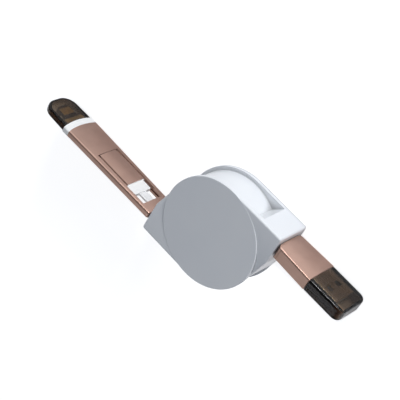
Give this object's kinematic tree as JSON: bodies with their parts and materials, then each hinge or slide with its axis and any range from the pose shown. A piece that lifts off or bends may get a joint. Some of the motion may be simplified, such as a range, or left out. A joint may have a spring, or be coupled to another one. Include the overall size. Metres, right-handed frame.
{
  "type": "retractable charging cable",
  "caption": "Round recoil reel with a flat cable on each side: a capped wide plug in a metal sleeve, and a capped adapter tab in a sliding frame over a small plug.",
  "frame": {"origin": "centre of the reel on the flat outside of its rear cover", "axes": "+X along the cables, towards the wide plug; +Z along the reel's axis, towards its front cover; +Y completes the right-handed set"},
  "size_m": [0.1518, 0.045, 0.0177],
  "materials": {
    "white_shell": "smooth glossy white moulding",
    "white_moulding": "satin white moulding",
    "rose_metal": "fine blasted and anodised in a rose tone",
    "smoked_cap": "clear smoked plastic",
    "white_cable": "soft matte flat cable jacket",
    "inner_plastic": "plain natural moulding",
    "white_insulator": "plain white insulator",
    "black_insulator": "plain black insulator",
    "board": "laminate circuit board",
    "plated_steel": "stamped and nickel plated",
    "spring_steel": "blued strip",
    "steel": "turned and ground",
    "gold_contact": "gold flash plating"
  },
  "bodies": {
    "housing": {"front_cover": "white_shell", "rear_cover": "white_shell", "axle": "steel", "centre_screw": "steel"},
    "reel_spool": {"spool": "inner_plastic", "spool_lid": "inner_plastic", "wound_cable": "white_cable", "recoil_spring": "spring_steel"},
    "lock_ball": {"locking_ball": "steel"},
    "wide_plug": {"usb_sleeve": "rose_metal", "usb_core": "white_moulding", "usb_shell": "plated_steel", "usb_tongue": "white_insulator", "usb_contacts": "gold_contact", "usb_lead": "white_cable"},
    "wide_cover": {"usb_cap": "smoked_cap"},
    "small_plug": {"micro_body": "white_moulding", "micro_panel": "rose_metal", "micro_shell": "plated_steel", "micro_tongue": "black_insulator", "micro_contacts": "gold_contact", "micro_lead": "white_cable"},
    "adapter": {"adapter_frame": "rose_metal", "adapter_socket": "plated_steel", "adapter_board": "board", "adapter_ring": "white_moulding", "adapter_tab": "plated_steel", "tab_pads": "gold_contact"},
    "tab_cover": {"adapter_cap": "smoked_cap"}
  },
  "joints": [
    {"name": "spool_spin", "type": "hinge", "parent": "housing", "child": "reel_spool", "pos_m": [0, 0, 0.0086], "axis": [0, 0, -1], "range_deg": [0, 1718], "stiffness_Nm_per_rad": 0.0003, "springref_deg": -343.77},
    {"name": "wide_pull", "type": "slide", "parent": "housing", "child": "wide_plug", "axis": [1, 0, 0], "range_m": [0, 0.33], "deforming": ["usb_lead"]},
    {"name": "small_pull", "type": "slide", "parent": "housing", "child": "small_plug", "axis": [-1, 0, 0], "range_m": [0, 0.33], "deforming": ["micro_lead"]},
    {"name": "wide_cap_off", "type": "slide", "parent": "wide_plug", "child": "wide_cover", "axis": [1, 0, 0], "range_m": [0, 0.02]},
    {"name": "adapter_slide", "type": "slide", "parent": "small_plug", "child": "adapter", "axis": [-1, 0, 0], "range_m": [0, 0.0051]},
    {"name": "tab_cap_off", "type": "slide", "parent": "adapter", "child": "tab_cover", "axis": [-1, 0, 0], "range_m": [0, 0.015]},
    {"name": "ball_shift", "type": "slide", "parent": "housing", "child": "lock_ball", "axis": [1, 0, 0], "range_m": [-0.0005, 0.0005]}
  ],
  "couplings": [
    {"joint": "wide_pull", "follows": "spool_spin", "m_per_rad": 0.011},
    {"joint": "small_pull", "follows": "spool_spin", "m_per_rad": 0.011}
  ]
}
